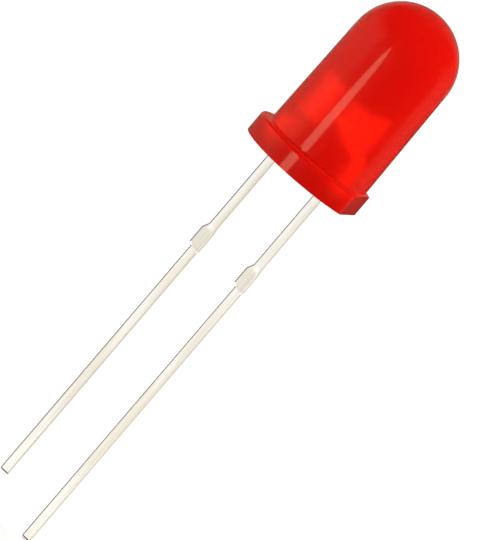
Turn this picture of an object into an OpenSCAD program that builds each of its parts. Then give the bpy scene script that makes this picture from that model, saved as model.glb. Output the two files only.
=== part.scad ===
// Through-hole LED, 5 mm, with a diffused red epoxy body.
// Origin: centre of the flange's underside, which is the seating plane.
// +Z points to the dome, the leads run down along -Z, and the flat of the flange faces +X.
// All sizes are in millimetres and all angles in degrees.

/* [Epoxy body] */
// Diameter of the lens where it leaves the flange
lens_d = 5; // [4.8:0.1:6]
// Height of the dome's top above the seating plane
body_h = 8.7; // [7.6:0.1:10]
// Draft of the lens on each side, in degrees
lens_draft = 1; // [0.25:0.25:2]
// Height of the flange
flange_h = 1; // [0.8:0.05:1.4]
// How far the flange stands out past the lens
flange_lip = 0.45; // [0.25:0.05:0.8]
// Radius on the flange's upper edge
flange_edge_r = 0.15; // [0.05:0.01:0.2]
// How far the flat of the flange stands out past the lens
flat_lip = 0.02; // [0.02:0.01:0.15]

/* [Lead frame strip] */
// Distance between the two leads, centre to centre
lead_pitch = 2.54; // [2.3:0.02:2.7]
// Width of each lead
lead_w = 0.4; // [0.35:0.01:0.5]
// Thickness of the strip that both frames are stamped from
strip_t = 0.4; // [0.35:0.01:0.5]
// How far the middle of the lead pair lies from the lens axis, minus being towards the post
frame_shift = -0.15; // [-0.25:0.05:0.1]
// Length of the anvil's lead below the seating plane
anvil_lead_l = 19.1; // [8:0.1:27]
// Length of the post's lead below the seating plane
post_lead_l = 17.6; // [8:0.1:27]
// Slope of the snipped lead ends, in degrees
tip_slope = 18; // [5:1:30]

/* [Stoppers on the leads] */
// Depth of the anvil lead's stopper below the seating plane
anvil_stop_z = 4.05; // [2:0.05:6]
// Depth of the post lead's stopper below the seating plane
post_stop_z = 4; // [2:0.05:6]
// Width of a stopper
stop_w = 0.6; // [0.55:0.01:0.9]
// Length of a stopper
stop_l = 1.35; // [0.9:0.05:2]
// Length of the curved shoulder above a stopper
stop_shoulder = 0.4; // [0.1:0.05:0.5]
// How much shorter a stopper is on its side towards -X, where it was sheared
stop_slant = 0.13; // [0:0.01:0.3]
// How deep each face of a stopper is pressed in
stop_press = 0.04; // [0.02:0.01:0.08]

/* [Anvil and post inside the epoxy] */
// Height above the seating plane where the leads widen into shanks
shank_z = 0.35; // [0.2:0.05:0.8]
// How far each shank stands out past its lead on its outer side
shank_out = 0.13; // [0.05:0.01:0.2]
// Height above the seating plane where the frames start to step inwards
neck_z = 2.05; // [1.3:0.05:2.1]
// How far inside its lead's outer edge the anvil steps
neck_in = 0.2; // [0.1:0.01:0.3]
// Height over which that step is made
neck_h = 0.45; // [0.2:0.05:0.7]
// How far inside its lead's outer edge the post's head starts
post_in = 0.26; // [0.2:0.01:0.35]
// How much further out than its head the post's neck stands
post_neck_out = 0.08; // [0.05:0.01:0.15]
// Height above the seating plane where the post's shank ends and its neck starts
post_shank_top = 1.55; // [1.2:0.05:1.7]
// Distance from the lens axis of the web beside the post's shank
post_web_in = 0.75; // [0.65:0.01:0.9]
// Height above the seating plane of that web's lower edge
post_web_z = 0.8; // [0.7:0.05:1.1]
// Height of the arch under the web that carries the cup
arch_z = 2.2; // [1.9:0.05:2.4]
// Radius with which the arch runs into the anvil's shank
arch_r = 0.6; // [0.3:0.05:0.8]
// Height of the reflector cup's rim above the seating plane
cup_rim_z = 3.9; // [3.4:0.05:4.5]
// Diameter of the cup at its rim
cup_d = 0.7; // [0.65:0.01:0.95]
// Diameter of the cup's floor
cup_floor_d = 0.46; // [0.46:0.01:0.6]
// Depth of the cup
cup_depth = 0.32; // [0.25:0.01:0.45]
// Wall left round the cup at its rim
cup_wall = 0.06; // [0.05:0.01:0.12]
// Height of the straight side of the block that holds the cup
cup_block_h = 0.9; // [0.5:0.05:1]
// How far the horn beside the cup rises above the rim
horn_h = 0.3; // [0.1:0.05:0.5]
// Width of the horn's flat top
horn_w = 0.12; // [0.08:0.01:0.2]
// Gap between the post and the cup's block
frame_gap = 0.13; // [0.12:0.01:0.3]
// Height of the post's inner corner above the cup's rim
post_rise = 0.1; // [0.05:0.05:0.4]
// How much higher the post's outer corner is than its inner one
post_slant = 0.2; // [0:0.05:0.3]

/* [Chip and bond wire] */
// Side of the square chip
chip_w = 0.28; // [0.2:0.01:0.3]
// Height of the chip
chip_h = 0.2; // [0.1:0.01:0.25]
// Thickness of the silver epoxy under the chip
attach_t = 0.025; // [0.015:0.005:0.04]
// Diameter of the silver epoxy pad
attach_d = 0.42; // [0.42:0.01:0.45]
// Diameter of the gold wire
wire_d = 0.03; // [0.02:0.005:0.05]
// Diameter of the ball that bonds the wire to the chip
ball_d = 0.09; // [0.07:0.01:0.12]
// Height of that ball
ball_h = 0.035; // [0.02:0.005:0.05]

/* [Hidden] */
$fn = 96;

// A cutting solid reaches this far past what it cuts
past = 0.5;

// Epoxy body
lens_r = lens_d / 2;
flange_r = lens_r + flange_lip;
flat_x = lens_r + flat_lip;
// The dome is a sphere that the drafted side runs into without a step
dome_r = (lens_r - (body_h - flange_h) * tan(lens_draft))
    / (cos(lens_draft) - tan(lens_draft) * (1 - sin(lens_draft)));
dome_z = body_h - dome_r;

// Lead frames
anvil_x = frame_shift + lead_pitch / 2;
post_x = frame_shift - lead_pitch / 2;
neck_top = neck_z + neck_h;
anvil_shank_x = anvil_x + lead_w / 2 + shank_out;
post_shank_x = post_x - lead_w / 2 - shank_out;
arch_x = anvil_x - lead_w / 2 - arch_r;
horn_x = anvil_x + lead_w / 2 - neck_in;
block_r = cup_d / 2 + cup_wall;
block_z = cup_rim_z - cup_block_h;
web_x = -0.75 * block_r;
post_outer_x = post_x - lead_w / 2 + post_in;
post_neck_x = post_outer_x - post_neck_out;
post_inner_x = -block_r - frame_gap;
post_right_x = post_x + lead_w / 2;
post_inner_z = cup_rim_z + post_rise;
post_outer_z = post_inner_z + post_slant;

// Chip, its pad and its wire
floor_z = cup_rim_z - cup_depth;
chip_z = floor_z + attach_t;
ball_z = chip_z + chip_h;
wire_z = ball_z + ball_h;
// The wire lands on the middle of the post's sloping top
bond_x = (post_outer_x + post_inner_x) / 2;
bond_z = (post_outer_z + post_inner_z) / 2;
// It leaves the ball straight up and follows one arc
wire_r = (bond_x * bond_x + pow(bond_z - wire_z, 2)) / (-2 * bond_x);
wire_turn = atan2(bond_z - wire_z, bond_x + wire_r);
// The arc runs on into the post by this many degrees, and the post's face trims it
wire_run_on = 6;

// Shoulder points of a stopper, on the side given by 1 or -1, from the lead's edge out to the full width
function shoulder(side) = [
    for (i = [0 : 8])
        let (t = i / 8, swell = (1 - cos(180 * t)) / 2)
        [side * (lead_w + (stop_w - lead_w) * swell) / 2, -stop_shoulder * t]
];

// A strip outline drawn in X and Z, given the strip's thickness about the XZ plane
module stamped(thickness) {
    rotate([90, 0, 0])
        linear_extrude(height = thickness, center = true)
            children();
}

// The stopper of one lead, with its shoulder's start at the origin
module stopper_outline() {
    polygon(concat(
        shoulder(1),
        [[stop_w / 2, -stop_l], [-stop_w / 2, stop_slant - stop_l]],
        [for (i = [8 : -1 : 0]) shoulder(-1)[i]]
    ));
}

// A straight lead from its snipped end up into the shank, with its stopper pressed thinner
module lead(length, stop_z) {
    press_h = stop_l - stop_shoulder - stop_slant;
    difference() {
        union() {
            translate([-lead_w / 2, -strip_t / 2, -length])
                cube([lead_w, strip_t, length + shank_z + lead_w]);
            translate([0, 0, -stop_z])
                stamped(strip_t)
                    stopper_outline();
        }
        for (side = [-1, 1])
            translate([-stop_w, side * (strip_t - stop_press) - strip_t / 2,
                -stop_z - stop_shoulder - press_h])
                cube([2 * stop_w, strip_t, press_h]);
        translate([0, strip_t / 2, -length])
            rotate([-tip_slope, 0, 0])
                translate([-lead_w, -2 * strip_t, -2 * past])
                    cube([2 * lead_w, 3 * strip_t, 2 * past]);
    }
}

// The shank and the web that carries the cup, with the horn beside the cup and the arch under it
module anvil_outline() {
    arch = [
        for (i = [0 : 8])
            let (turn = 90 - 90 * i / 8)
            [arch_x + arch_r * cos(turn), arch_z - arch_r + arch_r * sin(turn)]
    ];
    rise = [
        for (i = [0 : 8])
            let (t = i / 8)
            [horn_x - horn_w - (horn_x - horn_w - block_r) * t,
                cup_rim_z + horn_h * (1 + cos(180 * t)) / 2]
    ];
    polygon(concat(
        [[anvil_x - lead_w / 2, shank_z], [anvil_x + lead_w / 2, shank_z],
            [anvil_shank_x, shank_z + shank_out], [anvil_shank_x, neck_z],
            [horn_x, neck_top], [horn_x, cup_rim_z + horn_h]],
        rise,
        [[web_x, cup_rim_z], [web_x, arch_z + arch_x - web_x]],
        arch
    ));
}

// The block round the reflector cup, which narrows below to the strip's thickness
module cup_block() {
    taper_h = block_r - strip_t / 2;
    translate([0, 0, block_z])
        cylinder(h = cup_block_h, r = block_r);
    translate([0, 0, block_z - taper_h])
        cylinder(h = taper_h, r1 = strip_t / 2, r2 = block_r);
}

module cup_recess() {
    slope = (cup_d - cup_floor_d) / cup_depth;
    translate([0, 0, floor_z])
        cylinder(h = cup_depth + past, d1 = cup_floor_d, d2 = cup_d + slope * past);
}

module anvil_lead() {
    color("gainsboro")
        difference() {
            union() {
                translate([anvil_x, 0, 0])
                    lead(anvil_lead_l, anvil_stop_z);
                stamped(strip_t)
                    anvil_outline();
                cup_block();
            }
            cup_recess();
        }
}

module post_lead() {
    color("gainsboro")
        union() {
            translate([post_x, 0, 0])
                lead(post_lead_l, post_stop_z);
            stamped(strip_t)
                polygon([
                    [post_x - lead_w / 2, shank_z],
                    [post_shank_x, shank_z + shank_out],
                    [post_shank_x, post_shank_top],
                    [post_neck_x, post_shank_top + shank_out],
                    [post_neck_x, neck_z],
                    [post_outer_x, neck_top],
                    [post_outer_x, post_outer_z],
                    [post_inner_x, post_inner_z],
                    [post_inner_x, neck_z + post_web_in + post_inner_x],
                    [-post_web_in, neck_z],
                    [-post_web_in, post_web_z - (post_web_in + post_right_x) / 2],
                    [post_right_x, post_web_z],
                    [post_right_x, shank_z]
                ]);
        }
}

module die_attach() {
    color("silver")
        translate([0, 0, floor_z])
            cylinder(h = attach_t, d = attach_d);
}

module led_chip() {
    color("dimgray")
        translate([-chip_w / 2, -chip_w / 2, chip_z])
            cube([chip_w, chip_w, chip_h]);
}

module bond_wire() {
    color("gold")
        difference() {
            union() {
                translate([0, 0, ball_z])
                    cylinder(h = ball_h, d = ball_d);
                translate([-wire_r, 0, wire_z])
                    rotate([90, 0, 0])
                        rotate_extrude(angle = wire_turn + wire_run_on)
                            translate([wire_r, 0])
                                circle(d = wire_d);
            }
            post_lead();
        }
}

// The flange, with a rounded upper edge and its flat on +X
module flange() {
    difference() {
        rotate_extrude()
            union() {
                square([flange_r - flange_edge_r, flange_h]);
                square([flange_r, flange_h - flange_edge_r]);
                translate([flange_r - flange_edge_r, flange_h - flange_edge_r])
                    circle(r = flange_edge_r);
            }
        translate([flat_x, -flange_r, -past])
            cube([flange_r, 2 * flange_r, flange_h + 2 * past]);
    }
}

// The drafted side and the dome, which meet where the side just touches the sphere
module lens() {
    touch_z = dome_z + dome_r * sin(lens_draft);
    translate([0, 0, flange_h])
        cylinder(h = touch_z - flange_h, r1 = lens_r, r2 = dome_r * cos(lens_draft));
    translate([0, 0, dome_z])
        sphere(r = dome_r);
}

// The epoxy is cast round everything else, so its hollows are the shapes of the embedded pieces
module epoxy_body() {
    color("red", 0.6)
        difference() {
            union() {
                flange();
                lens();
            }
            anvil_lead();
            post_lead();
            die_attach();
            led_chip();
            bond_wire();
        }
}

epoxy_body();
anvil_lead();
post_lead();
led_chip();
die_attach();
bond_wire();
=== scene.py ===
# %% [markdown]
# # A through-hole LED with a diffused red body
#
# The real part is six pieces that stay together for life: one epoxy casting, two stamped lead
# frames, and inside the casting the chip, the pad that glues it down and its gold wire. The CAD frame
# already holds all six at their real size. This lesson dresses them. The casting and the two lead
# frames are grown again as smooth, rounded shapes, and the three pieces in the cup keep their CAD
# shape and get a finish of their own.

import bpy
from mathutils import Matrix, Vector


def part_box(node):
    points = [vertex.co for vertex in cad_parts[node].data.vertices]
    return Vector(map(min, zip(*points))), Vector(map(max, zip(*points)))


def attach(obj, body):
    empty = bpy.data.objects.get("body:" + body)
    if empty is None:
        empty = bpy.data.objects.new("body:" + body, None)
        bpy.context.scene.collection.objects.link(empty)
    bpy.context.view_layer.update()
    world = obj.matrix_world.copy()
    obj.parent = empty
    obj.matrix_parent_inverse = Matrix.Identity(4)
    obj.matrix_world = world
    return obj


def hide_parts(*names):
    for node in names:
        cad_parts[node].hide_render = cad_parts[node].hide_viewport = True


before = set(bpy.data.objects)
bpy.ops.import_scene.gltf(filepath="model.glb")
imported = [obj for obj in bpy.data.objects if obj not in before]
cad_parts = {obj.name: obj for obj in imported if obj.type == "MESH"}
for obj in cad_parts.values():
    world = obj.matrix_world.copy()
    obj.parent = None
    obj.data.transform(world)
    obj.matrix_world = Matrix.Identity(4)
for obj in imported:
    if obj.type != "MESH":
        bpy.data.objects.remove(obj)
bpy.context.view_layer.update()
print("CAD nodes:", sorted(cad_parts))

# %% Other modules, and the unit that sizes are written in
import math

import bmesh
import bpy
from mathutils import Matrix, Vector

MM = 0.001

# %% [markdown]
# ## Sizes
#
# Every place comes from the frame. A node's box gives the casting's height, the flange's radius and
# its flat, and the lead frames' boxes give where the leads run and how long they are. Only what a box
# can't tell, such as a draft or a fillet, is written in this lesson, where it is first needed.

# %% Sizes read from the frame
body_low, body_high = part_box("epoxy_body")
anvil_low, anvil_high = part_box("anvil_lead")
post_low, post_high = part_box("post_lead")

LEAD_W = 0.4 * MM
SHANK_OUT = 0.13 * MM
FLANGE_EDGE_R = 0.15 * MM
BODY_H = body_high.z
FLANGE_R = -body_low.x
FLAT_X = body_high.x
STRIP_T = post_high.y - post_low.y
ANVIL_X = anvil_high.x - SHANK_OUT - LEAD_W / 2
POST_X = post_low.x + SHANK_OUT + LEAD_W / 2
print(f"Body {BODY_H / MM:.2f} mm high, flange radius {FLANGE_R / MM:.2f} mm")
print(f"Flat at x = {FLAT_X / MM:.2f} mm, leads at x = {POST_X / MM:.2f} and {ANVIL_X / MM:.2f} mm")
print(f"Strip {STRIP_T / MM:.2f} mm thick")

# %% [markdown]
# ## One helper for nodes
#
# Shader trees and geometry trees are built with the same small function. It adds a node, applies its
# settings, links or fills its inputs, and hands back one output, so a node can be written straight
# into the inputs of the next. Inputs are given in socket order, or by name in a dictionary.


# %% A node with its settings and links
def add(tree, kind, inputs=(), out=0, **settings):
    node = tree.nodes.new(kind)
    for name, value in settings.items():
        setattr(node, name, value)
    if not isinstance(inputs, dict):
        inputs = dict(enumerate(inputs))
    for name, value in inputs.items():
        if isinstance(value, bpy.types.NodeSocket):
            tree.links.new(value, node.inputs[name])
        else:
            node.inputs[name].default_value = value
    return node.outputs[out] if node.outputs else node


MATH = "ShaderNodeMath"
RANGE = "ShaderNodeMapRange"
MIX = "ShaderNodeMix"
# Settings that recur: a range with a soft start and end, and a mix of colours, whose factor is
# socket 0 and whose two colours are sockets 6 and 7
SOFT = {"interpolation_type": "SMOOTHSTEP"}
COLOUR = {"data_type": "RGBA", "out": 2}


# %% A colour from its sRGB hex code, turned linear
def linear(code):
    def channel(value):
        value /= 255
        return value / 12.92 if value <= 0.04045 else ((value + 0.055) / 1.055) ** 2.4
    return tuple(channel(int(code[i:i + 2], 16)) for i in (0, 2, 4)) + (1.0,)


print("Mid grey 808080 is", round(linear("808080")[0], 3), "in linear light")


# %% An object in the scene
def put(name, data):
    made = bpy.data.objects.new(name, data)
    bpy.context.scene.collection.objects.link(made)
    return made


# %% An empty material
def material(name):
    made = bpy.data.materials.new(name)
    made.use_nodes = True
    made.node_tree.nodes.clear()
    return made, made.node_tree


# %% [markdown]
# ## Diffused red epoxy, cast
#
# The body is clear epoxy with a red dye and a fine white powder that scatters light. The eye gets
# three things from it: a hard gloss as smooth as the steel cup it was cast in, a deep and even red,
# and soft bright shapes where light comes back from the metal inside. So one Principled shader is
# mostly rough transmission, which blurs what lies inside, with subsurface scattering for the powder
# and a clear coat for the gloss.
#
# The colour is painted darker towards the seating plane, as painted shade for the light that the flange
# loses near its underside. The ledge where the lens stands on the flange is made less clear than the
# polished sides and is painted darker, and its rounded outer edge darker still, as painted shade against
# the lamp above. A faint cloudiness and a ripple far too low to feel keep the skin from looking
# computed. Lamps must reach the metal inside, and Cycles does not follow a lamp through a refracting
# skin, so shadow rays pass through a plain red filter instead.


# %% The epoxy
def diffused_red_epoxy():
    made, tree = material("Diffused red epoxy, cast")
    place = add(tree, "ShaderNodeTexCoord", out="Object")
    height = add(tree, "ShaderNodeSeparateXYZ", [place], out="Z")
    # Painted shade: the red darkens towards the seating plane, and the cloud adds a random tone on top
    painted_flange_shade = add(tree, RANGE, [height, 0.0, 1.3 * MM, 0.0, 1.0], **SOFT)
    cloud = add(tree, "ShaderNodeTexNoise", {"Vector": place, "Scale": 1 / (1.6 * MM), "Detail": 2.0})
    tone = add(tree, RANGE, [cloud, 0.3, 0.7, -0.12, 0.12])
    share = add(tree, MATH, [painted_flange_shade, tone], operation="ADD", use_clamp=True)
    red = add(tree, MIX, {0: share, 6: linear("C8120A"), 7: linear("E01107")}, **COLOUR)
    # The ledge is whatever faces up below the lens's foot
    normal = add(tree, "ShaderNodeNewGeometry", out="Normal")
    facing = add(tree, "ShaderNodeSeparateXYZ", [normal], out="Z")
    upward = add(tree, RANGE, [facing, 0.0, 0.8, 0.0, 1.0])
    low = add(tree, MATH, [height, 1.2 * MM], operation="LESS_THAN")
    ledge = add(tree, MATH, [upward, low], operation="MULTIPLY")
    # The ledge is painted darker, as painted shade against the lamp above, and is made less clear
    red = add(tree, MIX, {0: ledge, 6: red, 7: linear("BC1109")}, **COLOUR)
    clear = add(tree, MATH, [ledge, -0.5, 0.75], operation="MULTIPLY_ADD")
    # Its rounded outer edge, where it turns upwards, is painted darker still, as painted shade against
    # the lamp above
    level = add(tree, "ShaderNodeVectorMath", [place, (1, 1, 0)], operation="MULTIPLY")
    radius = add(tree, "ShaderNodeVectorMath", [level], out="Value", operation="LENGTH")
    outer = add(tree, MATH, [radius, FLANGE_R - FLANGE_EDGE_R], operation="GREATER_THAN")
    turned_up = add(tree, RANGE, [facing, 0.35, 0.65, 0.0, 1.0])
    edge = add(tree, MATH, [outer, turned_up], operation="MULTIPLY")
    red = add(tree, MIX, {0: edge, 6: red, 7: linear("A80E07")}, **COLOUR)
    # Real mould marks are under a micron, and this ripple is drawn at 0.3 micron over 0.6 mm
    ripple = add(tree, "ShaderNodeTexNoise", {"Vector": place, "Scale": 1 / (0.6 * MM), "Detail": 1.0})
    skin_normal = add(tree, "ShaderNodeBump", {"Height": ripple, "Distance": 0.0003 * MM})
    skin = add(tree, "ShaderNodeBsdfPrincipled", {
        "Base Color": red,
        "Normal": skin_normal,
        "Coat Normal": skin_normal,
        "Roughness": 0.46,
        "IOR": 1.52,
        "Specular IOR Level": 0.0,
        "Transmission Weight": clear,
        "Subsurface Weight": 1.0,
        "Subsurface Radius": (1.0, 0.25, 0.12),
        "Subsurface Scale": 1.0 * MM,
        "Coat Weight": 1.0,
        "Coat Roughness": 0.03,
        "Coat IOR": 1.5,
    })
    filtered = add(tree, "ShaderNodeBsdfTransparent", {"Color": (1.0, 0.3, 0.15, 1)})
    lamp_ray = add(tree, "ShaderNodeLightPath", out="Is Shadow Ray")
    add(tree, "ShaderNodeOutputMaterial", [add(tree, "ShaderNodeMixShader", [lamp_ray, skin, filtered])])
    return made


epoxy = diffused_red_epoxy()
print("Made:", epoxy.name)

# %% [markdown]
# ## Silver-plated steel, stamped
#
# The lead frames are punched from steel strip and plated with silver, because silver reflects the
# chip's light and takes the gold wire's weld. Plating follows the strip's fine grain, so the metal is
# bright but satin, with slightly cloudy patches. Only the part inside the epoxy stays like this. The
# foot of each shank and the post's web and neck are painted a little greyer, as painted shade for the
# light that reaches them less.


# %% The silver plating
# Where the post's shank ends, where both frames turn into their heads, and a place between them
POST_SHANK_TOP = 1.55 * MM
NECK_Z = 2.05 * MM
BETWEEN_X = -0.4 * MM


def silver_plated_steel():
    made, tree = material("Silver-plated steel, stamped")
    place = add(tree, "ShaderNodeTexCoord", out="Object")
    # The plating's grain is a few microns wide, and it is drawn at 60 microns so that it shows
    grain = add(tree, "ShaderNodeTexNoise", {"Vector": place, "Scale": 1 / (0.06 * MM), "Detail": 2.0})
    patch = add(tree, "ShaderNodeTexNoise", {"Vector": place, "Scale": 1 / (0.5 * MM), "Detail": 1.0})
    silver = add(tree, MIX, {0: patch, 6: linear("EDE8DD"), 7: linear("F7F5F1")}, **COLOUR)
    satin = add(tree, RANGE, [grain, 0.3, 0.7, 0.44, 0.56])
    x = add(tree, "ShaderNodeSeparateXYZ", [place], out="X")
    z = add(tree, "ShaderNodeSeparateXYZ", [place], out="Z")
    # The post's web lies right of its shank, its neck lies above the shank, and both lie below the head
    shank_side = POST_X + LEAD_W / 2
    right_of_shank = add(tree, RANGE, [x, shank_side - 0.14 * MM, shank_side], **SOFT)
    above_shank = add(tree, RANGE, [z, POST_SHANK_TOP - 0.05 * MM, POST_SHANK_TOP + 0.1 * MM], **SOFT)
    below_head = add(tree, RANGE, [z, NECK_Z + 0.07 * MM, NECK_Z - 0.07 * MM], **SOFT)
    on_post = add(tree, MATH, [x, BETWEEN_X], operation="LESS_THAN")
    beside = add(tree, MATH, [right_of_shank, above_shank], operation="MAXIMUM")
    # The post's web and neck below its head get painted shade
    pressed = add(tree, MATH, [beside, below_head], operation="MULTIPLY")
    pressed = add(tree, MATH, [pressed, on_post], operation="MULTIPLY")
    foot = add(tree, RANGE, [z, 0.65 * MM, 0.25 * MM], **SOFT)
    painted_metal_shade = add(tree, MATH, [pressed, foot], operation="MAXIMUM")
    # Painted shade: those places and the foot of each shank are painted greyer
    silver = add(tree, MIX, {0: painted_metal_shade, 6: silver, 7: linear("C9C5BC")}, **COLOUR)
    skin = add(tree, "ShaderNodeBsdfPrincipled", {
        "Base Color": silver,
        "Metallic": 1.0,
        "Roughness": satin,
        "Normal": add(tree, "ShaderNodeBump", {"Height": grain, "Distance": 0.001 * MM}),
    })
    add(tree, "ShaderNodeOutputMaterial", [skin])
    return made


plate = silver_plated_steel()
print("Made:", plate.name)

# %% [markdown]
# ## Tin-dipped steel
#
# After casting, the leads are dipped in molten tin so that they solder well. Tin is a warm white
# metal. It wets the strip as a smooth bright film with faint lines along the lead, where the strip
# was rolled, and with long creamy patches where it cooled a little dull. The film runs thin over the
# two sides where the press sheared the strip, and there the steel shows through greyer and rougher.
# Those sides face along X, so the surface's own normal tells them apart.


# %% The tin
def tin_dipped_steel():
    made, tree = material("Tin-dipped steel")
    place = add(tree, "ShaderNodeTexCoord", out="Object")
    # Rolling lines are 5 to 10 microns apart, and they are drawn 70 microns apart so that they show
    rolled = add(tree, "ShaderNodeMapping", {
        "Vector": place, "Scale": (1 / (0.07 * MM), 1 / (0.07 * MM), 1 / (3 * MM))})
    lines = add(tree, "ShaderNodeTexNoise", {"Vector": rolled, "Scale": 1.0, "Detail": 2.0})
    dulled = add(tree, "ShaderNodeMapping", {
        "Vector": place, "Scale": (1 / (0.5 * MM), 1 / (0.5 * MM), 1 / (4 * MM))})
    patches = add(tree, "ShaderNodeTexNoise", {"Vector": dulled, "Scale": 1.0, "Detail": 1.0})
    cream = add(tree, RANGE, [patches, 0.35, 0.65, 0.0, 1.0], **SOFT)
    tin = add(tree, MIX, {0: cream, 6: linear("F8F6F1"), 7: linear("F1EBDF")}, **COLOUR)
    # Sheared sides face along X, and pressed faces lie a little below the strip's own, facing along Y
    facing = add(tree, "ShaderNodeVectorMath", [add(tree, "ShaderNodeNewGeometry", out="Normal")],
                 operation="ABSOLUTE")
    sideways = add(tree, "ShaderNodeSeparateXYZ", [facing], out="X")
    sheared = add(tree, RANGE, [sideways, 0.55, 0.9], **SOFT)
    forward = add(tree, "ShaderNodeSeparateXYZ", [facing], out="Y")
    flat = add(tree, RANGE, [forward, 0.93, 0.98])
    depth = add(tree, MATH, [add(tree, "ShaderNodeSeparateXYZ", [place], out="Y")], operation="ABSOLUTE")
    sunk = add(tree, RANGE, [depth, STRIP_T / 2 - 0.008 * MM, STRIP_T / 2 - 0.02 * MM])
    pressed = add(tree, MATH, [sunk, flat], operation="MULTIPLY")
    colour = add(tree, MIX, {0: pressed, 6: tin, 7: linear("E6E1D6")}, **COLOUR)
    colour = add(tree, MIX, {0: sheared, 6: colour, 7: linear("DAD0BD")}, **COLOUR)
    bright = add(tree, RANGE, [lines, 0.3, 0.7, 0.14, 0.24])
    skin = add(tree, "ShaderNodeBsdfPrincipled", {
        "Base Color": colour,
        "Metallic": 1.0,
        "Roughness": add(tree, MATH, [sheared, 0.2, bright], operation="MULTIPLY_ADD"),
        "Normal": add(tree, "ShaderNodeBump", {"Height": lines, "Distance": 0.0006 * MM}),
    })
    add(tree, "ShaderNodeOutputMaterial", [skin])
    return made


tin = tin_dipped_steel()
print("Made:", tin.name)

# %% [markdown]
# ## Bare steel, snipped
#
# The leads were cut to length after dipping, so their ends have no tin. A cutter leaves a smooth band
# and a torn band, and bare steel soon browns. To the eye an end is a small dark stroke.


# %% The cut ends
def bare_steel():
    made, tree = material("Bare steel, snipped")
    place = add(tree, "ShaderNodeTexCoord", out="Object")
    # Tears are a few microns wide, and they are drawn 50 microns wide so that they show
    across = add(tree, "ShaderNodeMapping", {
        "Vector": place, "Scale": (1 / (0.3 * MM), 1 / (0.05 * MM), 1 / (0.05 * MM))})
    tears = add(tree, "ShaderNodeTexNoise", {"Vector": across, "Scale": 1.0, "Detail": 3.0})
    steel = add(tree, MIX, {0: tears, 6: linear("40362F"), 7: linear("665A50")}, **COLOUR)
    skin = add(tree, "ShaderNodeBsdfPrincipled", {
        "Base Color": steel,
        "Metallic": 1.0,
        "Roughness": add(tree, RANGE, [tears, 0.3, 0.7, 0.35, 0.6]),
        "Normal": add(tree, "ShaderNodeBump", {"Height": tears, "Distance": 0.004 * MM}),
    })
    add(tree, "ShaderNodeOutputMaterial", [skin])
    return made


steel = bare_steel()
print("Made:", steel.name)

# %% [markdown]
# ## The three pieces in the cup
#
# The chip is a cube of gallium compound, sawn from a wafer: dark, a little glassy, with saw lines
# round its sides and a gold pad on top. It sits in silver epoxy, a grey paste full of bright flakes,
# and a drawn gold wire runs from its pad to the post. All three are CAD nodes, so they keep their
# shape, and their patterns are laid out on Object coordinates, which for a CAD node are its real place.


# %% The chip
CHIP_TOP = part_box("led_chip")[1].z
PAD_R = 0.06 * MM


def sawn_chip():
    made, tree = material("Gallium chip, sawn")
    place = add(tree, "ShaderNodeTexCoord", out="Object")
    height = add(tree, "ShaderNodeSeparateXYZ", [place], out="Z")
    # Saw lines are a few microns apart, and they are drawn 15 microns apart so that they show
    sawn = add(tree, "ShaderNodeMapping", {
        "Vector": place, "Scale": (1 / (0.2 * MM), 1 / (0.2 * MM), 1 / (0.015 * MM))})
    lines = add(tree, "ShaderNodeTexNoise", {"Vector": sawn, "Scale": 1.0, "Detail": 2.0})
    body = add(tree, MIX, {0: lines, 6: linear("2E2622"), 7: linear("4E4038")}, **COLOUR)
    flat = add(tree, "ShaderNodeMapping", {"Vector": place, "Scale": (1, 1, 0)})
    radius = add(tree, "ShaderNodeVectorMath", [flat], out="Value", operation="LENGTH")
    disc = add(tree, MATH, [radius, PAD_R], operation="LESS_THAN")
    top = add(tree, MATH, [height, CHIP_TOP - 0.002 * MM], operation="GREATER_THAN")
    pad = add(tree, MATH, [disc, top], operation="MULTIPLY")
    skin = add(tree, "ShaderNodeBsdfPrincipled", {
        "Base Color": add(tree, MIX, {0: pad, 6: body, 7: linear("E3B962")}, **COLOUR),
        "Metallic": pad,
        "Roughness": add(tree, RANGE, [lines, 0.3, 0.7, 0.25, 0.45]),
        "Normal": add(tree, "ShaderNodeBump", {"Height": lines, "Distance": 0.001 * MM}),
    })
    add(tree, "ShaderNodeOutputMaterial", [skin])
    return made


# %% The silver epoxy
def silver_epoxy():
    made, tree = material("Silver epoxy, dispensed")
    place = add(tree, "ShaderNodeTexCoord", out="Object")
    # Flakes are 5 to 15 microns across, and they are drawn at 20 microns
    flakes = add(tree, "ShaderNodeTexVoronoi", {"Vector": place, "Scale": 1 / (0.02 * MM)}, out="Color")
    shade = add(tree, "ShaderNodeSeparateXYZ", [flakes], out="X")
    skin = add(tree, "ShaderNodeBsdfPrincipled", {
        "Base Color": add(tree, MIX, {0: shade, 6: linear("B4B1AB"), 7: linear("DDDBD6")}, **COLOUR),
        "Metallic": 0.85,
        "Roughness": add(tree, RANGE, [shade, 0.0, 1.0, 0.3, 0.6]),
        "Normal": add(tree, "ShaderNodeBump", {"Height": shade, "Distance": 0.002 * MM}),
    })
    add(tree, "ShaderNodeOutputMaterial", [skin])
    return made


# %% The gold wire
def drawn_gold():
    made, tree = material("Gold, drawn")
    place = add(tree, "ShaderNodeTexCoord", out="Object")
    # The wire arcs from side to side, so its draw lines are stretched along X
    drawn = add(tree, "ShaderNodeMapping", {
        "Vector": place, "Scale": (1 / (0.2 * MM), 1 / (0.008 * MM), 1 / (0.02 * MM))})
    lines = add(tree, "ShaderNodeTexNoise", {"Vector": drawn, "Scale": 1.0, "Detail": 2.0})
    skin = add(tree, "ShaderNodeBsdfPrincipled", {
        "Base Color": add(tree, MIX, {0: lines, 6: linear("DDAE52"), 7: linear("F0CB7A")}, **COLOUR),
        "Metallic": 1.0,
        "Roughness": add(tree, RANGE, [lines, 0.3, 0.7, 0.15, 0.28]),
    })
    add(tree, "ShaderNodeOutputMaterial", [skin])
    return made


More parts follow.
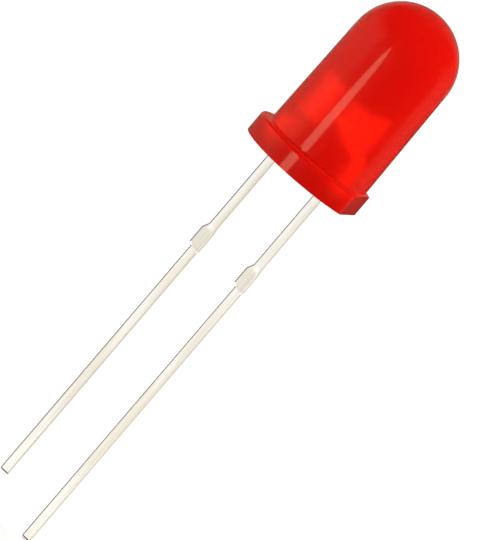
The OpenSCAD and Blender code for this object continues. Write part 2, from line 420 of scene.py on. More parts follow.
# %% Give the three CAD nodes their finishes
inner_finishes = {"led_chip": sawn_chip(), "die_attach": silver_epoxy(), "bond_wire": drawn_gold()}
for name, finish in inner_finishes.items():
    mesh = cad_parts[name].data
    mesh.materials.clear()
    mesh.materials.append(finish)
    print(f"{name}: {finish.name}")

# %% [markdown]
# ## The casting as a rule
#
# The casting comes out of a turned steel cup, so nearly all of it is one outline spun round the lens
# axis: underside, rim, flange top, drafted side and dome. It could be a lathed mesh, but as a geometry
# tree each size stays a named input. The tree draws the outline from six corners, rounds each corner
# with its own radius, and wraps a grid round the axis, one row for each point of the outline. The dome
# is only the largest of those fillets. The flat is made by letting no point pass the flat's plane.


# %% A tree with named inputs
def geometry_tree(name, sizes):
    tree = bpy.data.node_groups.new(name, "GeometryNodeTree")
    for label, kind in sizes.items():
        tree.interface.new_socket(label, in_out="INPUT", socket_type=kind)
    tree.interface.new_socket("Mesh", in_out="OUTPUT", socket_type="NodeSocketGeometry")
    return tree, tree.nodes.new("NodeGroupInput").outputs


LENGTH = "NodeSocketFloat"
COUNT = "NodeSocketInt"


# %% Every tree ends alike: smooth faces with crisp corners, real mesh, material
def finish_tree(tree, mesh, finish):
    smooth = add(tree, "GeometryNodeSetShadeSmooth", [mesh], domain="FACE")
    bend = add(tree, "GeometryNodeInputMeshEdgeAngle", out="Unsigned Angle")
    sharp = add(tree, MATH, [bend, math.radians(40)], operation="GREATER_THAN")
    crisp = add(tree, "GeometryNodeSetShadeSmooth", [smooth, sharp, False], domain="EDGE")
    real = add(tree, "GeometryNodeRealizeInstances", [crisp])
    finished = add(tree, "GeometryNodeSetMaterial", {"Geometry": real, "Material": finish})
    add(tree, "NodeGroupOutput", [finished])


# %% A grid to wrap round an axis, with each point's row and the cosine and sine of its turn
def wrapped_grid(tree, rows, segments):
    # One more column than segments, so that the grid's two edges meet and can be merged
    columns = add(tree, MATH, [segments, 1.0], operation="ADD")
    grid = add(tree, "GeometryNodeMeshGrid", {"Vertices X": rows, "Vertices Y": columns}, out="Mesh")
    index = add(tree, "GeometryNodeInputIndex")
    steps = add(tree, MATH, [add(tree, MATH, [index, 0.5], operation="ADD"), columns], operation="DIVIDE")
    row = add(tree, MATH, [steps], operation="FLOOR")
    column = add(tree, MATH, [index, columns], operation="FLOORED_MODULO")
    share = add(tree, MATH, [column, segments], operation="DIVIDE")
    turn = add(tree, MATH, [share, 2 * math.pi], operation="MULTIPLY")
    cosine = add(tree, MATH, [turn], operation="COSINE")
    sine = add(tree, MATH, [turn], operation="SINE")
    return grid, row, cosine, sine


# %% The casting's tree
def casting_tree():
    tree, given = geometry_tree("Casting", {
        "Lens radius": LENGTH, "Shoulder radius": LENGTH, "Dome radius": LENGTH, "Height": LENGTH,
        "Flange height": LENGTH, "Flange radius": LENGTH, "Flat": LENGTH, "Foot fillet": LENGTH,
        "Edge fillet": LENGTH, "Root fillet": LENGTH, "Lead width": LENGTH, "First lead": LENGTH,
        "Second lead": LENGTH, "Meniscus": LENGTH, "Row height": LENGTH, "Segments": COUNT,
        "Material": "NodeSocketMaterial",
    })
    # Radius, height, fillet and points in the fillet, from the underside's middle to the dome's top
    corners = [
        (0.0, 0.0, 0.0, 1),
        (given["Flange radius"], 0.0, given["Foot fillet"], 4),
        (given["Flange radius"], given["Flange height"], given["Edge fillet"], 10),
        (given["Lens radius"], given["Flange height"], given["Root fillet"], 6),
        (given["Shoulder radius"], given["Height"], given["Dome radius"], 56),
        (0.0, given["Height"], 0.0, 1),
    ]
    index = add(tree, "GeometryNodeInputIndex")

    def by_corner(data_type, values):
        switch = tree.nodes.new("GeometryNodeIndexSwitch")
        switch.data_type = data_type
        tree.links.new(index, switch.inputs["Index"])
        while len(switch.index_switch_items) < len(values):
            switch.index_switch_items.new()
        for i, value in enumerate(values):
            if isinstance(value, bpy.types.NodeSocket):
                tree.links.new(value, switch.inputs[i + 1])
            else:
                switch.inputs[i + 1].default_value = value
        return switch.outputs[0]

    places = [add(tree, "ShaderNodeCombineXYZ", {"X": r, "Z": z}) for r, z, _, _ in corners]
    place = by_corner("VECTOR", places)
    points = add(tree, "GeometryNodePoints", {"Count": len(corners), "Position": place})
    rounded = add(tree, "GeometryNodeFilletCurve", {
        "Curve": add(tree, "GeometryNodePointsToCurves", [points]),
        "Count": by_corner("INT", [count for _, _, _, count in corners]),
        "Radius": by_corner("FLOAT", [radius for _, _, radius, _ in corners]),
    }, mode="POLY")
    # Long stretches are cut into short rows: the underside's take the meniscus round each lead, and on
    # the lens they keep the smooth normals of the fillets from reaching far along the straight side
    here = add(tree, "GeometryNodeInputPosition")
    following = add(tree, MATH, [index, 1.0], operation="ADD")
    there = add(tree, "GeometryNodeFieldAtIndex", {
        "Value": here, "Index": following,
    }, data_type="FLOAT_VECTOR")
    stretch = add(tree, "ShaderNodeVectorMath", [here, there], out="Value", operation="DISTANCE")
    cuts = add(tree, MATH, [stretch, given["Row height"]], operation="DIVIDE")
    ringed = add(tree, "GeometryNodeSubdivideCurve", [rounded, cuts])
    stations = add(tree, "GeometryNodeCurveToPoints", {"Curve": ringed}, out="Points", mode="EVALUATED")
    rows = add(tree, "GeometryNodeAttributeDomainSize", {"Geometry": stations}, out="Point Count",
               component="POINTCLOUD")

    # Each row of the grid is one point of the outline, turned round the axis up to the flat's plane
    grid, row, cosine, sine = wrapped_grid(tree, rows, given["Segments"])
    spot = add(tree, "GeometryNodeSampleIndex", {
        "Geometry": stations, "Value": here, "Index": row,
    }, data_type="FLOAT_VECTOR")
    radius = add(tree, "ShaderNodeSeparateXYZ", [spot], out="X")
    height = add(tree, "ShaderNodeSeparateXYZ", [spot], out="Z")
    x = add(tree, MATH, [radius, cosine], operation="MULTIPLY")
    x = add(tree, MATH, [x, given["Flat"]], operation="MINIMUM")
    y = add(tree, MATH, [radius, sine], operation="MULTIPLY")

    # Epoxy wets the leads and climbs down each a little way, fading out from the lead's faces
    half = add(tree, MATH, [given["Lead width"], 0.5], operation="MULTIPLY")

    def outside(offset):
        beyond = add(tree, MATH, [offset], operation="ABSOLUTE")
        beyond = add(tree, MATH, [beyond, half], operation="SUBTRACT")
        return add(tree, MATH, [beyond, 0.0], operation="MAXIMUM")

    climb = 0.0
    for lead in ("First lead", "Second lead"):
        offset = add(tree, MATH, [x, given[lead]], operation="SUBTRACT")
        reach = add(tree, "ShaderNodeCombineXYZ", [outside(offset), outside(y)])
        away = add(tree, "ShaderNodeVectorMath", [reach], out="Value", operation="LENGTH")
        decay = add(tree, MATH, [away, given["Meniscus"]], operation="DIVIDE")
        decay = add(tree, MATH, [decay, -1.0], operation="MULTIPLY")
        fade = add(tree, MATH, [decay], operation="EXPONENT")
        climb = add(tree, MATH, [fade, given["Meniscus"], climb], operation="MULTIPLY_ADD")
    under = add(tree, MATH, [height, 1e-7], operation="LESS_THAN")
    lowered = add(tree, MATH, [climb, under], operation="MULTIPLY")
    z = add(tree, MATH, [height, lowered], operation="SUBTRACT")

    spun = add(tree, "GeometryNodeSetPosition", {
        "Geometry": grid, "Position": add(tree, "ShaderNodeCombineXYZ", [x, y, z])})
    closed = add(tree, "GeometryNodeMergeByDistance", {"Geometry": spun, "Distance": 0.0005 * MM})
    finish_tree(tree, add(tree, "GeometryNodeFlipFaces", [closed]), given["Material"])
    return tree


casting = casting_tree()
print("Nodes in the casting's tree:", len(casting.nodes))


# %% What an object's modifiers make of it, as a plain mesh
def plain_mesh(obj):
    bpy.context.view_layer.update()
    evaluated = obj.evaluated_get(bpy.context.evaluated_depsgraph_get())
    return bpy.data.meshes.new_from_object(evaluated)


# %% A tree's result as a piece
def grow(name, tree, values):
    seed = put(name + "_seed", bpy.data.meshes.new(name + "_seed"))
    modifier = seed.modifiers.new("Grow", "NODES")
    modifier.node_group = tree
    for item in tree.interface.items_tree:
        if item.in_out == "INPUT":
            modifier[item.identifier] = values[item.name]
    mesh = plain_mesh(seed)
    bpy.data.objects.remove(seed)
    mesh.name = name
    # The mesh comes with an empty slot before its material's, so its slots are made again
    mesh.materials.clear()
    mesh.materials.append(values["Material"])
    print(f"{name}: {len(mesh.polygons)} faces")
    return put(name, mesh)


# %% [markdown]
# ## The dome's radius
#
# The lens is drafted, which means that it gets narrower upwards by one degree a side so that it
# leaves the cup. The dome must touch both the drafted side and a flat line at full height, with its
# centre on the axis. That fixes its radius, and the corner where those two lines would have met.

# %% Grow the casting
LENS_R = 2.5 * MM
LENS_DRAFT = math.radians(1)
FLANGE_H = 1 * MM

side_h = BODY_H - FLANGE_H
shoulder_r = LENS_R - side_h * math.tan(LENS_DRAFT)
dome_r = (LENS_R * math.cos(LENS_DRAFT) - side_h * math.sin(LENS_DRAFT)) / (1 - math.sin(LENS_DRAFT))
print(f"Dome radius {dome_r / MM:.3f} mm, corner at radius {shoulder_r / MM:.3f} mm")

body = grow("epoxy_casting", casting, {
    "Lens radius": LENS_R, "Shoulder radius": shoulder_r, "Dome radius": dome_r, "Height": BODY_H,
    "Flange height": FLANGE_H, "Flange radius": FLANGE_R, "Flat": FLAT_X, "Foot fillet": 0.02 * MM,
    "Edge fillet": FLANGE_EDGE_R, "Root fillet": 0.08 * MM, "Lead width": LEAD_W, "First lead": POST_X,
    "Second lead": ANVIL_X, "Meniscus": 0.12 * MM, "Row height": 0.07 * MM, "Segments": 192,
    "Material": epoxy,
})
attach(body, "root")
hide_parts("epoxy_body")

# %% [markdown]
# ## A stamped lead
#
# A lead is strip, about as thick as it is wide, with corners rounded a little by the press and more by
# the tin. It runs straight down and swells once into a stopper, which keeps the body off the board.
# The stopper is wider because it was left wider when the strip was punched, and a little thinner
# because it was also pressed. Its lower end was sheared off at a slant, and the lead's own end is
# snipped at a slope.
#
# A sweep along a curve could not change its section on the way, so this tree also bends a grid: a row
# of the grid is one section of the lead, and its width and thickness are worked out from its height.
# The section is a superellipse, whose "Squareness" goes from 2, an ellipse, towards a sharp rectangle.


# %% The lead's tree
def lead_tree():
    tree, given = geometry_tree("Stamped lead", {
        "Place": LENGTH, "Top": LENGTH, "Length": LENGTH, "Width": LENGTH, "Thickness": LENGTH,
        "Squareness": LENGTH, "Stopper depth": LENGTH, "Stopper width": LENGTH, "Stopper length": LENGTH,
        "Stopper shift": LENGTH, "Shoulder": LENGTH, "Slant": LENGTH, "Press": LENGTH,
        "Tip slope": LENGTH, "Row height": LENGTH, "Columns": COUNT, "Material": "NodeSocketMaterial",
    })

    run = add(tree, MATH, [given["Top"], given["Length"]], operation="ADD")
    steps = add(tree, MATH, [run, given["Row height"]], operation="DIVIDE")
    last = add(tree, MATH, [steps], operation="CEIL")
    # Besides its sections the grid has two more rows, which close the ends at their middles
    rows = add(tree, MATH, [last, 3.0], operation="ADD")
    grid, row, cosine, sine = wrapped_grid(tree, rows, given["Columns"])
    section = add(tree, MATH, [row, 1.0], operation="SUBTRACT")
    step = add(tree, "ShaderNodeClamp", [section, 0.0, last])
    open_row = add(tree, MATH, [section, step, 0.5], operation="COMPARE")
    share = add(tree, MATH, [step, last], operation="DIVIDE")
    along = add(tree, MATH, [share, run], operation="MULTIPLY")
    z = add(tree, MATH, [given["Top"], along], operation="SUBTRACT")

    # How far across and through the strip each point lies, as parts of half its width and thickness
    power = add(tree, MATH, [2.0, given["Squareness"]], operation="DIVIDE")

    def squared(wave):
        size = add(tree, MATH, [add(tree, MATH, [wave], operation="ABSOLUTE"), power], operation="POWER")
        return add(tree, MATH, [add(tree, MATH, [wave], operation="SIGN"), size], operation="MULTIPLY")

    across = squared(cosine)
    through = squared(sine)

    # The stopper swells in over its shoulder and ends square, sooner on its left side
    down = add(tree, MATH, [add(tree, MATH, [z, -1.0], operation="MULTIPLY"), given["Stopper depth"]],
               operation="SUBTRACT")
    left = add(tree, MATH, [across, 0.0], operation="LESS_THAN")
    sheared = add(tree, MATH, [given["Slant"], left], operation="MULTIPLY")
    foot = add(tree, MATH, [given["Stopper length"], sheared], operation="SUBTRACT")
    foot_start = add(tree, MATH, [foot, given["Row height"]], operation="SUBTRACT")
    swell = add(tree, RANGE, [down, 0.0, given["Shoulder"]], **SOFT)
    above_foot = add(tree, RANGE, [down, foot, foot_start], **SOFT)
    wing = add(tree, MATH, [swell, above_foot], operation="MULTIPLY")
    spread = add(tree, MATH, [given["Stopper width"], given["Width"]], operation="SUBTRACT")
    wide = add(tree, MATH, [spread, wing, given["Width"]], operation="MULTIPLY_ADD")
    # The press mark fades in over the shoulder and out again before the foot
    mark_end = add(tree, MATH, [given["Shoulder"], -0.5, given["Stopper length"]],
                   operation="MULTIPLY_ADD")
    above_mark_end = add(tree, RANGE, [down, given["Stopper length"], mark_end], **SOFT)
    pressed = add(tree, MATH, [swell, above_mark_end], operation="MULTIPLY")
    depth = add(tree, MATH, [given["Press"], -2.0], operation="MULTIPLY")
    thick = add(tree, MATH, [depth, pressed, given["Thickness"]], operation="MULTIPLY_ADD")

    half = add(tree, MATH, [open_row, 0.5], operation="MULTIPLY")
    half_w = add(tree, MATH, [wide, half], operation="MULTIPLY")
    half_t = add(tree, MATH, [thick, half], operation="MULTIPLY")
    middle_x = add(tree, MATH, [given["Stopper shift"], wing, given["Place"]], operation="MULTIPLY_ADD")
    x = add(tree, MATH, [across, half_w, middle_x], operation="MULTIPLY_ADD")
    y = add(tree, MATH, [through, half_t], operation="MULTIPLY")

    # The snipped end slopes, so the last stretch of rows is sheared along the lead
    slope_start = add(tree, MATH, [given["Width"], given["Length"]], operation="SUBTRACT")
    lead_end = add(tree, MATH, [given["Length"], -1.0], operation="MULTIPLY")
    near = add(tree, RANGE, [z, slope_start, lead_end], **SOFT)
    forward = add(tree, MATH, [add(tree, MATH, [given["Thickness"], 0.5], operation="MULTIPLY"), y],
                  operation="SUBTRACT")
    slope = add(tree, MATH, [forward, add(tree, MATH, [given["Tip slope"]], operation="TANGENT")],
                operation="MULTIPLY")
    z = add(tree, MATH, [slope, near, z], operation="MULTIPLY_ADD")
    swept = add(tree, "GeometryNodeSetPosition", {
        "Geometry": grid, "Position": add(tree, "ShaderNodeCombineXYZ", [x, y, z])})
    closed = add(tree, "GeometryNodeMergeByDistance", {"Geometry": swept, "Distance": 0.0005 * MM})
    finish_tree(tree, closed, given["Material"])
    return tree


stamped_lead = lead_tree()
print("Nodes in the lead's tree:", len(stamped_lead.nodes))

# %% [markdown]
# ## Solids for the frames' heads
#
# Inside the epoxy each lead widens into a flat head: the anvil, which carries a round cup for the
# chip, and the post, which takes the wire. A head is one punched outline, so it is drawn as points in
# X and Z, given the strip's thickness, and its edges are rounded with a bevel. The cup's block and its
# recess are turned shapes. Booleans then join head, block and lead into one piece, as they are in life.


# %% A solid from its corners and faces
def solid(name, corners, faces):
    mesh = bpy.data.meshes.new(name)
    mesh.from_pydata(corners, [], faces)
    mesh.materials.append(plate)
    return put(name, mesh)


# %% An outline punched out of strip
def stamping(name, outline, edge):
    count = len(outline)
    front = [(x, -STRIP_T / 2, z) for x, z in outline]
    back = [(x, STRIP_T / 2, z) for x, z in outline]
    faces = [tuple(range(count)), tuple(reversed(range(count, 2 * count)))]
    faces += [(i, i + count, (i + 1) % count + count, (i + 1) % count) for i in range(count)]
    piece = solid(name, front + back, faces)
    bevel = piece.modifiers.new("Edge", "BEVEL")
    bevel.width = edge
    bevel.segments = 3
    bevel.limit_method = "ANGLE"
    bevel.angle_limit = math.radians(35)
    return piece


# %% An outline of radius and height, from axis to axis, spun into a closed solid
def lathe(name, outline, segments=96):
    corners = []
    faces = []
    for r, z in outline:
        for j in range(segments):
            turn = 2 * math.pi * j / segments
            corners.append((r * math.cos(turn), r * math.sin(turn), z))
    for i in range(len(outline) - 1):
        for j in range(segments):
            a = i * segments + j
            b = i * segments + (j + 1) % segments
            faces.append((a, b, b + segments, a + segments))
    piece = solid(name, corners, faces)
    shape = bmesh.new()
    shape.from_mesh(piece.data)
    bmesh.ops.remove_doubles(shape, verts=shape.verts, dist=0.0005 * MM)
    bmesh.ops.recalc_face_normals(shape, faces=shape.faces)
    shape.to_mesh(piece.data)
    shape.free()
    return piece


# %% Join and cut, then keep a plain mesh
def combine(piece, tools):
    for operation, tool in tools:
        cut = piece.modifiers.new(operation, "BOOLEAN")
        cut.operation = operation
        cut.solver = "MANIFOLD"
        cut.object = tool
    mesh = plain_mesh(piece)
    mesh.name = piece.name
    piece.modifiers.clear()
    piece.data = mesh
    for _, tool in tools:
        bpy.data.objects.remove(tool)
    print(f"{piece.name}: {len(mesh.polygons)} faces once joined")
    return piece


# %% Sizes of the heads
SHANK_Z = 0.35 * MM
NECK_H = 0.45 * MM
NECK_IN = 0.2 * MM
ARCH_Z = 2.2 * MM
ARCH_R = 0.6 * MM
CUP_RIM_Z = 3.9 * MM
CUP_D = 0.7 * MM
CUP_FLOOR_D = 0.46 * MM
CUP_DEPTH = 0.32 * MM
CUP_BLOCK_H = 0.9 * MM
HORN_W = 0.12 * MM
POST_NECK_OUT = 0.08 * MM
POST_IN = 0.26 * MM
POST_WEB_X = -0.75 * MM
POST_WEB_Z = 0.8 * MM
POST_RISE = 0.1 * MM
STAMPED_EDGE = 0.05 * MM

HORN_H = anvil_high.z - CUP_RIM_Z
HORN_X = ANVIL_X + LEAD_W / 2 - NECK_IN
BLOCK_R = anvil_high.y
BLOCK_Z = CUP_RIM_Z - CUP_BLOCK_H
ARCH_X = ANVIL_X - LEAD_W / 2 - ARCH_R
WEB_LEFT = -0.75 * BLOCK_R
POST_INNER = post_high.x
POST_OUTER = POST_X - LEAD_W / 2 + POST_IN
print(f"Horn {HORN_H / MM:.2f} mm above the rim, gap to the post {(-BLOCK_R - POST_INNER) / MM:.2f} mm")

# %% Grow both leads
stopper_depths = {"anvil_frame": 4.05 * MM, "post_frame": 4 * MM}
leads = {}
for name, place, length in (("anvil_frame", ANVIL_X, -anvil_low.z), ("post_frame", POST_X, -post_low.z)):
    leads[name] = grow(name, stamped_lead, {
        "Place": place, "Top": SHANK_Z + LEAD_W, "Length": length, "Width": LEAD_W,
        "Thickness": STRIP_T, "Squareness": 5.0, "Stopper depth": stopper_depths[name],
        "Stopper width": 0.6 * MM, "Stopper length": 1.35 * MM, "Stopper shift": -0.055 * MM,
        "Shoulder": 0.4 * MM, "Slant": 0.13 * MM, "Press": 0.028 * MM, "Tip slope": math.radians(18),
        "Row height": 0.05 * MM, "Columns": 32, "Material": plate,
    })

# %% The anvil: shank and web, block and cup
anvil_left = ANVIL_X - LEAD_W / 2
anvil_right = ANVIL_X + LEAD_W / 2
horn_left = HORN_X - HORN_W
horn = []
arch = []
for i in range(17):
    share = i / 16
    horn.append((horn_left - (horn_left - BLOCK_R) * share,
                 CUP_RIM_Z + HORN_H * (1 + math.cos(math.pi * share)) / 2))
    turn = math.pi / 2 * (1 - share)
    arch.append((ARCH_X + ARCH_R * math.cos(turn), ARCH_Z - ARCH_R + ARCH_R * math.sin(turn)))
web = stamping("web", [
    (anvil_left, SHANK_Z), (anvil_right, SHANK_Z), (anvil_right + SHANK_OUT, SHANK_Z + SHANK_OUT),
    (anvil_right + SHANK_OUT, NECK_Z), (HORN_X, NECK_Z + NECK_H), (HORN_X, CUP_RIM_Z + HORN_H), *horn,
    (WEB_LEFT, CUP_RIM_Z), (WEB_LEFT, ARCH_Z + ARCH_X - WEB_LEFT), *arch], STAMPED_EDGE)
block = lathe("block", [
    (0, BLOCK_Z - BLOCK_R + STRIP_T / 2), (STRIP_T / 2, BLOCK_Z - BLOCK_R + STRIP_T / 2),
    (BLOCK_R, BLOCK_Z), (BLOCK_R, CUP_RIM_Z), (0, CUP_RIM_Z)])
past = 0.5 * MM
widening = (CUP_D - CUP_FLOOR_D) / CUP_DEPTH / 2
recess = lathe("recess", [
    (0, CUP_RIM_Z - CUP_DEPTH), (CUP_FLOOR_D / 2, CUP_RIM_Z - CUP_DEPTH),
    (CUP_D / 2 + widening * past, CUP_RIM_Z + past), (0, CUP_RIM_Z + past)])
anvil = combine(leads["anvil_frame"], [("UNION", web), ("UNION", block), ("DIFFERENCE", recess)])

# %% The post
post_left = POST_X - LEAD_W / 2
post_right = POST_X + LEAD_W / 2
post_neck = POST_OUTER - POST_NECK_OUT
post_plate = stamping("plate", [
    (post_left, SHANK_Z), (post_right, SHANK_Z), (post_right, POST_WEB_Z),
    (POST_WEB_X, POST_WEB_Z + (POST_WEB_X - post_right) / 2), (POST_WEB_X, NECK_Z),
    (POST_INNER, NECK_Z + POST_INNER - POST_WEB_X), (POST_INNER, CUP_RIM_Z + POST_RISE),
    (POST_OUTER, post_high.z), (POST_OUTER, NECK_Z + NECK_H), (post_neck, NECK_Z),
    (post_neck, POST_SHANK_TOP + SHANK_OUT), (post_left - SHANK_OUT, POST_SHANK_TOP),
    (post_left - SHANK_OUT, SHANK_Z + SHANK_OUT)],
    STAMPED_EDGE)
post = combine(leads["post_frame"], [("UNION", post_plate)])

# %% [markdown]
# ## Three finishes on one frame
#
# Each frame is one piece of steel with three finishes. The silver stays inside the epoxy, the tin
# starts where the lead comes out, and only the snipped end is bare. A mesh can hold all three as
# material slots, and each face picks its slot by where it lies and which way it faces.

# %% Sort the faces into their finishes
SNIP_H = 0.12 * MM

for piece, node, end in ((anvil, "anvil_lead", anvil_low.z), (post, "post_lead", post_low.z)):
    mesh = piece.data
    mesh.materials.clear()
    for finish in (plate, tin, steel):
        mesh.materials.append(finish)
    for face in mesh.polygons:
        snipped = face.center.z < end + SNIP_H and face.normal.z < -0.7
        face.material_index = 2 if snipped else int(face.center.z < 0)
    counts = [sum(face.material_index == i for face in mesh.polygons) for i in range(3)]
    print(f"{piece.name}: {counts[0]} plated, {counts[1]} tinned and {counts[2]} bare faces")
    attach(piece, "root")
    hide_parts(node)

# %% [markdown]
# ## The studio
#
# Glossy plastic and metal look like what surrounds them, so the studio is built for their
# reflections, as for any small shiny product. The world and the floor are white to the camera and to
# rays that pass through the epoxy. Dark cloth hangs all round for the gloss alone, so that the red is
# not washed out, and curved cards in front of it give the highlights. The cards for the casting and
# those for the metal are kept apart with light linking.


# %% A direction from its azimuth, round from the front towards +X, and its elevation
def toward(azimuth, elevation):
    a = math.radians(azimuth)
    e = math.radians(elevation)
    return Vector((math.sin(a) * math.cos(e), -math.cos(a) * math.cos(e), math.sin(e)))


# %% Which objects a light may reach
def group(name, objects):
    made = bpy.data.collections.new(name)
    for obj in objects:
        made.objects.link(obj)
    return made


castings = group("Castings", [body])
metals = group("Metals", [anvil, post] + [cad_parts[name] for name in inner_finishes])


# %% The world
world = bpy.data.worlds.new("Studio")
bpy.context.scene.world = world
world.use_nodes = True
sky = world.node_tree
sky.nodes.clear()


def shows_white(tree):
    """1 for rays that should meet a white background, 0 for the rest."""
    seen = 0.0
    for kind in ("Is Camera Ray", "Is Glossy Ray", "Is Transmission Ray"):
        seen = add(tree, MATH, [add(tree, "ShaderNodeLightPath", out=kind), seen], operation="MAXIMUM")
    return seen


SOFT_LIGHT = 0.35
level = add(sky, RANGE, {"Value": shows_white(sky), "To Min": SOFT_LIGHT, "To Max": 1.0})
add(sky, "ShaderNodeOutputWorld", [add(sky, "ShaderNodeBackground", [(1, 1, 1, 1), level])])
print("World: white as background,", SOFT_LIGHT, "as light")

# %% [markdown]
# ## The floor
#
# The floor is a pale matt sheet just under the lead ends. Its own colour takes the lamps and the
# shadow, and to the camera it also glows a little, so that it fades into the white background.

# %% The floor
FLOOR_Z = anvil_low.z - 0.02 * MM
FLOOR_R = 0.6
mesh = bpy.data.meshes.new("floor")
mesh.from_pydata([(-FLOOR_R, -FLOOR_R, FLOOR_Z), (FLOOR_R, -FLOOR_R, FLOOR_Z),
                  (FLOOR_R, FLOOR_R, FLOOR_Z), (-FLOOR_R, FLOOR_R, FLOOR_Z)], [], [(0, 1, 2, 3)])
paper, tree = material("White paper, matt")
fibres = add(tree, "ShaderNodeTexNoise", {
    "Vector": add(tree, "ShaderNodeTexCoord", out="Object"), "Scale": 1 / (2 * MM), "Detail": 3.0})
tint = add(tree, MIX, {0: fibres, 6: linear("E6E6E4"), 7: linear("ECECEA")}, **COLOUR)
matt = add(tree, "ShaderNodeBsdfDiffuse", [tint])
glow = add(tree, MATH, [shows_white(tree), 0.55], operation="MULTIPLY")
lift = add(tree, "ShaderNodeEmission", [(1, 1, 1, 1), glow])
add(tree, "ShaderNodeOutputMaterial", [add(tree, "ShaderNodeAddShader", [matt, lift])])
paper.cycles.emission_sampling = "NONE"
mesh.materials.append(paper)
floor = put("floor", mesh)
floor.visible_glossy = False
floor.visible_shadow = False
floors = group("Floors", [floor])
print(f"Floor at z = {FLOOR_Z / MM:.2f} mm")


# %% [markdown]
# ## Cards and lamps
#
# A card is a glowing sheet bent round the object. It shows only as a reflection, except that the
# strip lights the casting as well. A card's glow fades towards its edges as on a lit panel, and its
# outline can change with height. A lamp is a soft box. Those for the casting light its colour and
# don't show in its gloss, and the two for the metal inside do show, since metal has only its gloss.


# %% The value at a place between (place, value) stops
def at(stops, place):
    for (p0, v0), (p1, v1) in zip(stops, stops[1:]):
        if place <= p1:
            return v0 + (v1 - v0) * max(0.0, place - p0) / (p1 - p0)
    return stops[-1][1]


# %% A card
def card(name, left, right, up, across, distance, colour, radiance, only=None,
         lights=False, opaque=False):
    """left and right hold the edges' azimuths by elevation, up the glow by elevation, and across the
    glow from the left edge, 0, to the right edge, 1."""
    low, high = up[0][0], up[-1][0]
    rows, columns = 120, 40
    corners, faces, glows = [], [], []
    for i in range(rows + 1):
        elevation = low + (high - low) * i / rows
        a0, a1 = at(left, elevation), at(right, elevation)
        for j in range(columns + 1):
            share = j / columns
            corners.append(distance * toward(a0 + (a1 - a0) * share, elevation))
            glows.append(at(up, elevation) * at(across, share))
    for i in range(rows):
        for j in range(columns):
            k = i * (columns + 1) + j
            faces.append((k, k + 1, k + columns + 2, k + columns + 1))
    mesh = bpy.data.meshes.new(name)
    mesh.from_pydata(corners, [], faces)
    mesh.attributes.new("glow", "FLOAT", "POINT").data.foreach_set("value", glows)
    made, tree = material(name)
    glow = add(tree, "ShaderNodeAttribute", out="Fac", attribute_name="glow")
    strength = add(tree, MATH, [glow, radiance], operation="MULTIPLY")
    light = add(tree, "ShaderNodeEmission", [colour, strength])
    # Rays pass on through a card, so one made for the casting doesn't hide one made for the metal
    clear = add(tree, "ShaderNodeBsdfTransparent", [(0, 0, 0, 1) if opaque else (1, 1, 1, 1)])
    add(tree, "ShaderNodeOutputMaterial", [add(tree, "ShaderNodeAddShader", [light, clear])])
    if not lights:
        made.cycles.emission_sampling = "NONE"
    mesh.materials.append(made)
    obj = put(name, mesh)
    obj.visible_camera = False
    obj.visible_diffuse = lights
    obj.visible_transmission = False
    obj.visible_shadow = False
    if only:
        obj.light_linking.receiver_collection = only
    return obj


# %% Dark cloth all round
EVEN = [(0, 1), (1, 1)]
card("dark_cloth", [(0, -180)], [(0, 180)], [(-89.9, 1), (89.9, 1)], EVEN, 0.60, (1, 1, 1, 1), 0.01,
     opaque=True)

# %% Cards for the casting: two veils for its sides, a glow for its dome, and the strip
card("veil_left", [(0, -160)], [(0, -38)], [(-20, 1), (10, 1), (28, 0.3)],
     [(0.0, 0.45), (0.28, 0.5), (0.5, 0.75), (0.75, 1.0), (0.85, 0.9), (0.92, 0.5), (1.0, 0.0)],
     0.30, (1, 0.8, 0.55, 1), 0.34, castings)
card("veil_right", [(0, 99)], [(0, 190)], [(-20, 1), (10, 1), (28, 0.3)],
     [(0.0, 0.0), (0.08, 0.9), (0.3, 1.0), (0.5, 0.5), (0.7, 0.2), (1.0, 0.15)],
     0.30, (1, 0.75, 0.5, 1), 0.20, castings)
card("glow_behind", [(0, 150)], [(0, 230)], [(-5, 1), (20, 1), (60, 0.35), (89, 0.3)],
     [(0.0, 0.0), (0.2, 1.0), (0.8, 1.0), (1.0, 0.0)], 0.30, (1, 0.7, 0.5, 1), 0.2, castings)
# The strip is narrow where the lens shows it, tapers to a point upwards, and is wide for the flange
card("strip",
     [(-4.2, -29.5), (-3.65, -28.3), (-3.3, -25.9), (-3.2, -24.0), (0, -22.6), (8.5, -21.4), (13, -20.5)],
     [(-4.2, -10.5), (-3.65, -11.7), (-3.3, -14.1), (-3.2, -16.0), (0, -17.4), (8.5, -18.7), (13, -19.6)],
     [(-30, 1), (13, 1)], [(0.0, 0.0), (0.16, 0.9), (0.3, 1.0), (0.7, 1.0), (0.84, 0.9), (1.0, 0.0)],
     0.28, (1, 0.62, 0.42, 1), 2.75, castings, lights=True)

# %% Cards for the metal
card("tent_left", [(0, -162)], [(0, -5)], [(-40, 1), (30, 1)], [(0, 0.2), (0.74, 0.2), (0.75, 1), (1, 1)],
     0.20, (1, 0.99, 0.96, 1), 0.97, metals)
card("tent_right", [(0, -5)], [(0, 198)], [(-40, 1), (40, 1)], EVEN,
     0.20, (1, 0.98, 0.93, 1), 0.88, metals)


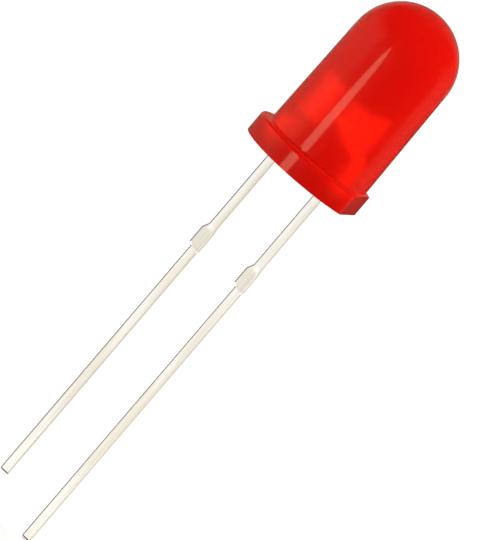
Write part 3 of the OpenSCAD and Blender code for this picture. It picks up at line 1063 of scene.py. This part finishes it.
# %% A soft box that spans wide by high degrees, as the object sees it
def lamp(name, azimuth, elevation, wide, high, radiance, only, glossy=False):
    distance = 0.2
    data = bpy.data.lights.new(name, "AREA")
    data.shape = "RECTANGLE"
    data.size = 2 * distance * math.tan(math.radians(wide / 2))
    data.size_y = 2 * distance * math.tan(math.radians(high / 2))
    data.energy = radiance * math.pi * data.size * data.size_y
    obj = put(name, data)
    obj.location = toward(azimuth, elevation) * distance
    obj.rotation_mode = "QUATERNION"
    obj.rotation_quaternion = toward(azimuth, elevation).to_track_quat("Z", "Y")
    obj.visible_camera = False
    obj.visible_glossy = glossy
    obj.visible_transmission = False
    obj.light_linking.receiver_collection = only
    return obj


# %% Lamps for the casting, the metal inside it, and the floor
lamp("key_right", 75, 52, 50, 50, 5.0, castings)
lamp("fill_left", -60, 30, 50, 50, 1.0, castings)
lamp("rim_right", 119, 10, 50, 50, 6.0, castings)
lamp("rim_left", -120, 28, 50, 50, 2.8, castings)
lamp("inner_left", -30, -48, 45, 30, 10.0, metals, glossy=True)
lamp("inner_right", 55, -48, 80, 30, 9.0, metals, glossy=True)
sun = put("floor_light", bpy.data.lights.new("floor_light", "SUN"))
sun.data.energy = 1.0
sun.data.angle = math.radians(20)
sun.rotation_mode = "QUATERNION"
sun.rotation_quaternion = toward(-135, 55).to_track_quat("Z", "Y")
sun.light_linking.receiver_collection = floors

# %% [markdown]
# ## The camera
#
# A long lens from 0.4 m, a little above and to the right of the front. The object stands upright on
# its leads, so the camera is rolled to lay it along the frame's diagonal.

# %% The camera
AZIMUTH = 9.5
ELEVATION = 8.0
ROLL = math.radians(-40.6)
VIEW_H = 22.26 * MM
DISTANCE = 400 * MM

back = toward(AZIMUTH, ELEVATION)
right = Vector((math.cos(math.radians(AZIMUTH)), math.sin(math.radians(AZIMUTH)), 0))
up = back.cross(right)
target = right * (0.920 * MM) + up * (-4.382 * MM)
camera = put("camera", bpy.data.cameras.new("camera"))
bpy.context.scene.camera = camera
camera.data.sensor_width = 36
camera.data.lens = 36 * DISTANCE / VIEW_H
camera.data.clip_start = 0.01
camera.data.clip_end = 10
camera.location = target + back * DISTANCE
rolled_right = right * math.cos(ROLL) - up * math.sin(ROLL)
rolled_up = right * math.sin(ROLL) + up * math.cos(ROLL)
camera.rotation_mode = "QUATERNION"
camera.rotation_quaternion = Matrix((rolled_right, rolled_up, back)).transposed().to_quaternion()
print(f"Camera: {camera.data.lens:.0f} mm lens at {DISTANCE:.2f} m")

# %% Plain view transform
bpy.context.scene.view_settings.view_transform = "Standard"
